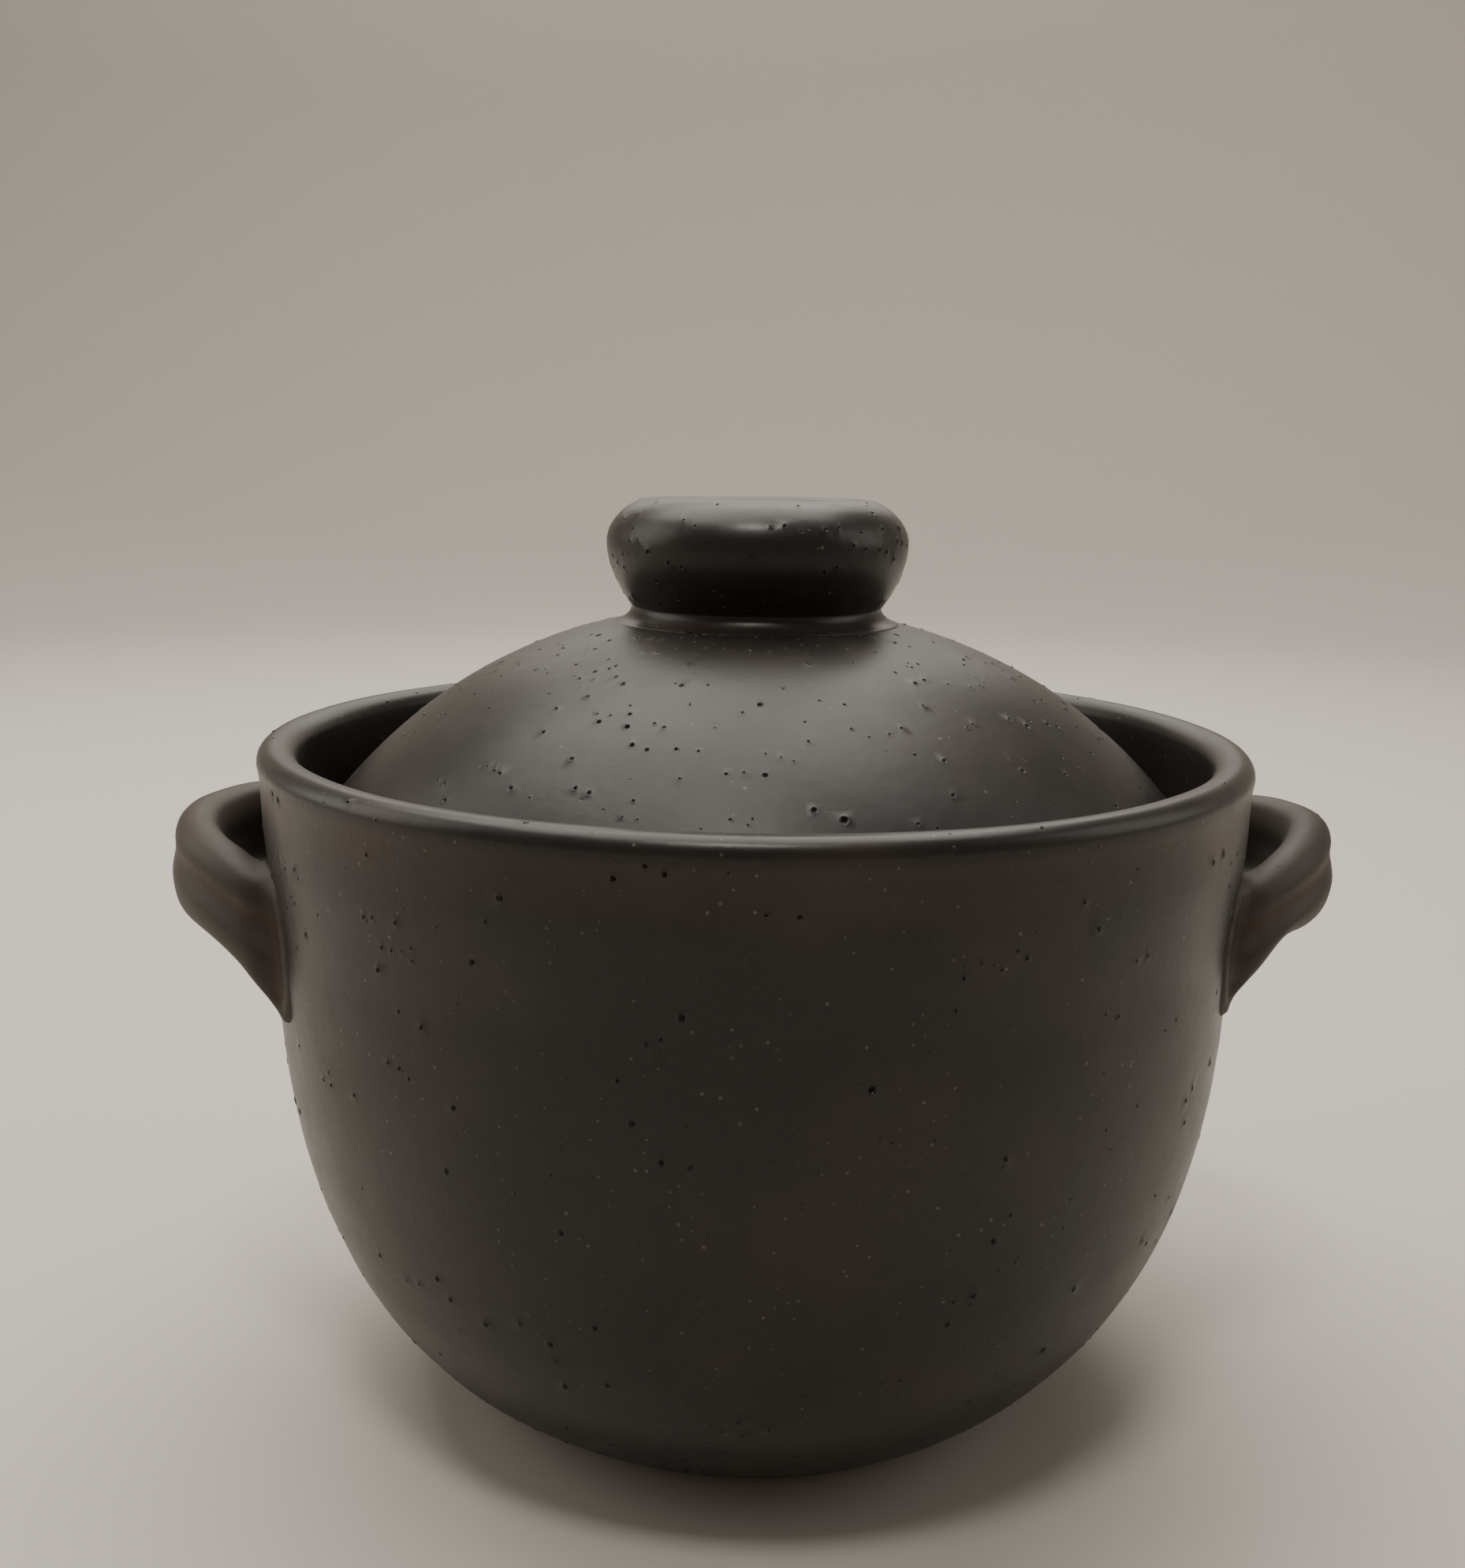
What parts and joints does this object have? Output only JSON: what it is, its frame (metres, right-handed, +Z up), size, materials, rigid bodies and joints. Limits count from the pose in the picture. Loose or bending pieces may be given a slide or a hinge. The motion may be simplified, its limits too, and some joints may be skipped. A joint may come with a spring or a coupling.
{
  "type": "donabe clay pot",
  "caption": "Round stoneware rice pot with two strap ears, a deep-set domed outer lid with a hollow ring knob, and an inner lid on its own ledge.",
  "frame": {"origin": "centre of the foot, on the surface that the pot stands on", "axes": "+X through the right ear, +Y away from the viewer of the picture, +Z up through the knob"},
  "size_m": [0.2015, 0.167, 0.1534],
  "materials": {
    "black_glaze": "satin black glaze with pinholes and fine pale specks over stoneware",
    "inner_glaze": "the same black glaze, thinner and browner"
  },
  "bodies": {
    "pot": {"pot_body": "black_glaze", "handle_left": "black_glaze", "handle_right": "black_glaze"},
    "inner_lid": {"inner_lid": "inner_glaze", "inner_lid_knob": "inner_glaze"},
    "outer_lid": {"lid_dome": "black_glaze", "lid_knob": "black_glaze"}
  },
  "joints": [
    {"name": "inner_lid_lift", "type": "slide", "parent": "pot", "child": "inner_lid", "axis": [0, 0, 1], "range_m": [0, 0.07]},
    {"name": "outer_lid_lift", "type": "slide", "parent": "inner_lid", "child": "outer_lid", "axis": [0, 0, 1], "range_m": [0, 0.09]}
  ]
}
